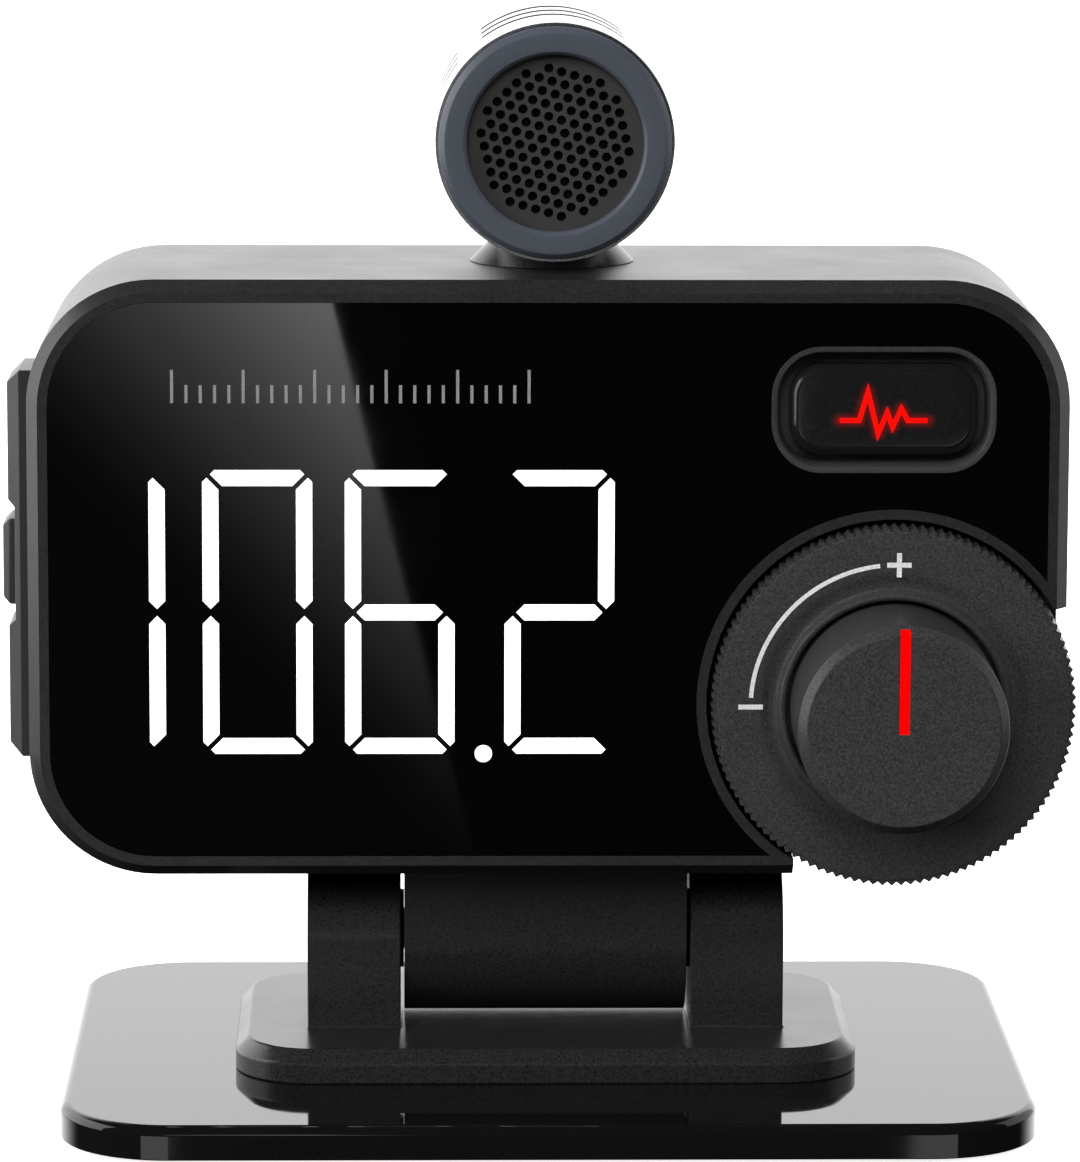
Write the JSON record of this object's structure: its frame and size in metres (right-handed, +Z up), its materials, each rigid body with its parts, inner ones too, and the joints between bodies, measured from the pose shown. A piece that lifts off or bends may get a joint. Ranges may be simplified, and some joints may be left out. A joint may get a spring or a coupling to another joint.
{
  "type": "dashboard fm transmitter",
  "caption": "Dashboard radio transmitter: gloss display head on a friction hinge and adhesive base, with a corner control dial, a pulse button, side keys and a swivel microphone.",
  "frame": {"origin": "centre of the adhesive pad's lower face, under the middle of the base plate", "axes": "+Z up, +X to the right as the display is read, +Y away from the reader"},
  "size_m": [0.0775, 0.0524, 0.0791],
  "materials": {
    "pad_foam": "adhesive foam",
    "gloss_black": "polished black",
    "satin_black": "satin moulded",
    "housing": "fine satin grain",
    "steel": "plated",
    "dark_nylon": "matte",
    "panel": "smoked gloss",
    "digit_light": "lit white",
    "board": "solder mask",
    "shield": "tinned",
    "cable_ribbon": "ribbon film",
    "dial": "fine grain",
    "red_inlay": "satin red",
    "trim": "satin paint",
    "button_cap": "satin gloss",
    "red_light": "lit red",
    "key": "satin",
    "mic_metal": "satin anodised",
    "mic_ring": "slate paint",
    "grille": "matte grey",
    "foam": "open foam",
    "rubber": "matte"
  },
  "bodies": {
    "base": {"adhesive_pad": "pad_foam", "base_plate": "gloss_black", "foot_screws": "steel", "hinge_foot": "satin_black", "hinge_bolt": "steel", "hinge_nut": "steel", "friction_washers": "dark_nylon"},
    "head": {"hinge_tongue": "satin_black", "tongue_screws": "steel", "front_housing": "housing", "rear_cover": "housing", "cover_screws": "steel", "display_panel": "panel", "digit_windows": "digit_light", "display_module": "dark_nylon", "display_board": "board", "main_board": "board", "board_screws": "steel", "radio_module": "shield", "power_inductor": "dark_nylon", "smoothing_capacitors": "shield", "board_connectors": "dark_nylon", "board_cable": "cable_ribbon", "usb_socket": "shield", "usb_blade": "dark_nylon", "dual_encoder": "shield", "button_trim": "trim", "pulse_switch": "dark_nylon", "key_board": "board", "side_switches": "dark_nylon"},
    "wheel": {"control_wheel": "dial", "wheel_shaft": "steel"},
    "knob_push": {"knob_switch_plunger": "dark_nylon"},
    "knob": {"knob_cap": "dial", "knob_pointer": "red_inlay", "knob_shaft": "steel"},
    "pulse_button": {"pulse_button_cap": "button_cap", "pulse_icon": "red_light"},
    "rocker": {"side_rocker": "key"},
    "middle_key": {"side_key": "key"},
    "mic": {"mic_pedestal": "satin_black", "mic_retaining_nut": "steel", "mic_barrel": "mic_metal", "mic_front_ring": "mic_ring", "mic_grille": "grille", "mic_foam": "foam", "mic_capsule": "shield", "capsule_boot": "rubber", "mic_rear_cap": "mic_metal"}
  },
  "joints": [
    {"name": "head_tilt", "type": "hinge", "parent": "base", "child": "head", "pos_m": [0, -0.0006, 0.01137], "axis": [-1, 0, 0], "range_deg": [-30, 45]},
    {"name": "wheel_turn", "type": "hinge", "parent": "head", "child": "wheel", "pos_m": [0.02485, -0.0133, 0.0304], "axis": [0, 1, 0], "continuous": true},
    {"name": "knob_press", "type": "slide", "parent": "head", "child": "knob_push", "axis": [0, 1, 0], "range_m": [0, 0.0005], "stiffness_N_per_m": 1500},
    {"name": "knob_turn", "type": "hinge", "parent": "knob_push", "child": "knob", "pos_m": [0.02485, -0.0133, 0.0304], "axis": [0, 1, 0], "continuous": true},
    {"name": "pulse_press", "type": "slide", "parent": "head", "child": "pulse_button", "axis": [0, 1, 0], "range_m": [0, 0.00035], "stiffness_N_per_m": 1200},
    {"name": "rocker_tilt", "type": "hinge", "parent": "head", "child": "rocker", "pos_m": [-0.0349, -0.004, 0.03985], "axis": [0, 1, 0], "range_deg": [-2, 2], "stiffness_Nm_per_rad": 0.08},
    {"name": "middle_key_press", "type": "slide", "parent": "head", "child": "middle_key", "axis": [1, 0, 0], "range_m": [0, 0.0004], "stiffness_N_per_m": 1200},
    {"name": "mic_swivel", "type": "hinge", "parent": "head", "child": "mic", "pos_m": [0.00045, 0.0016, 0.061], "axis": [0, 0, 1], "range_deg": [-60, 60]}
  ]
}
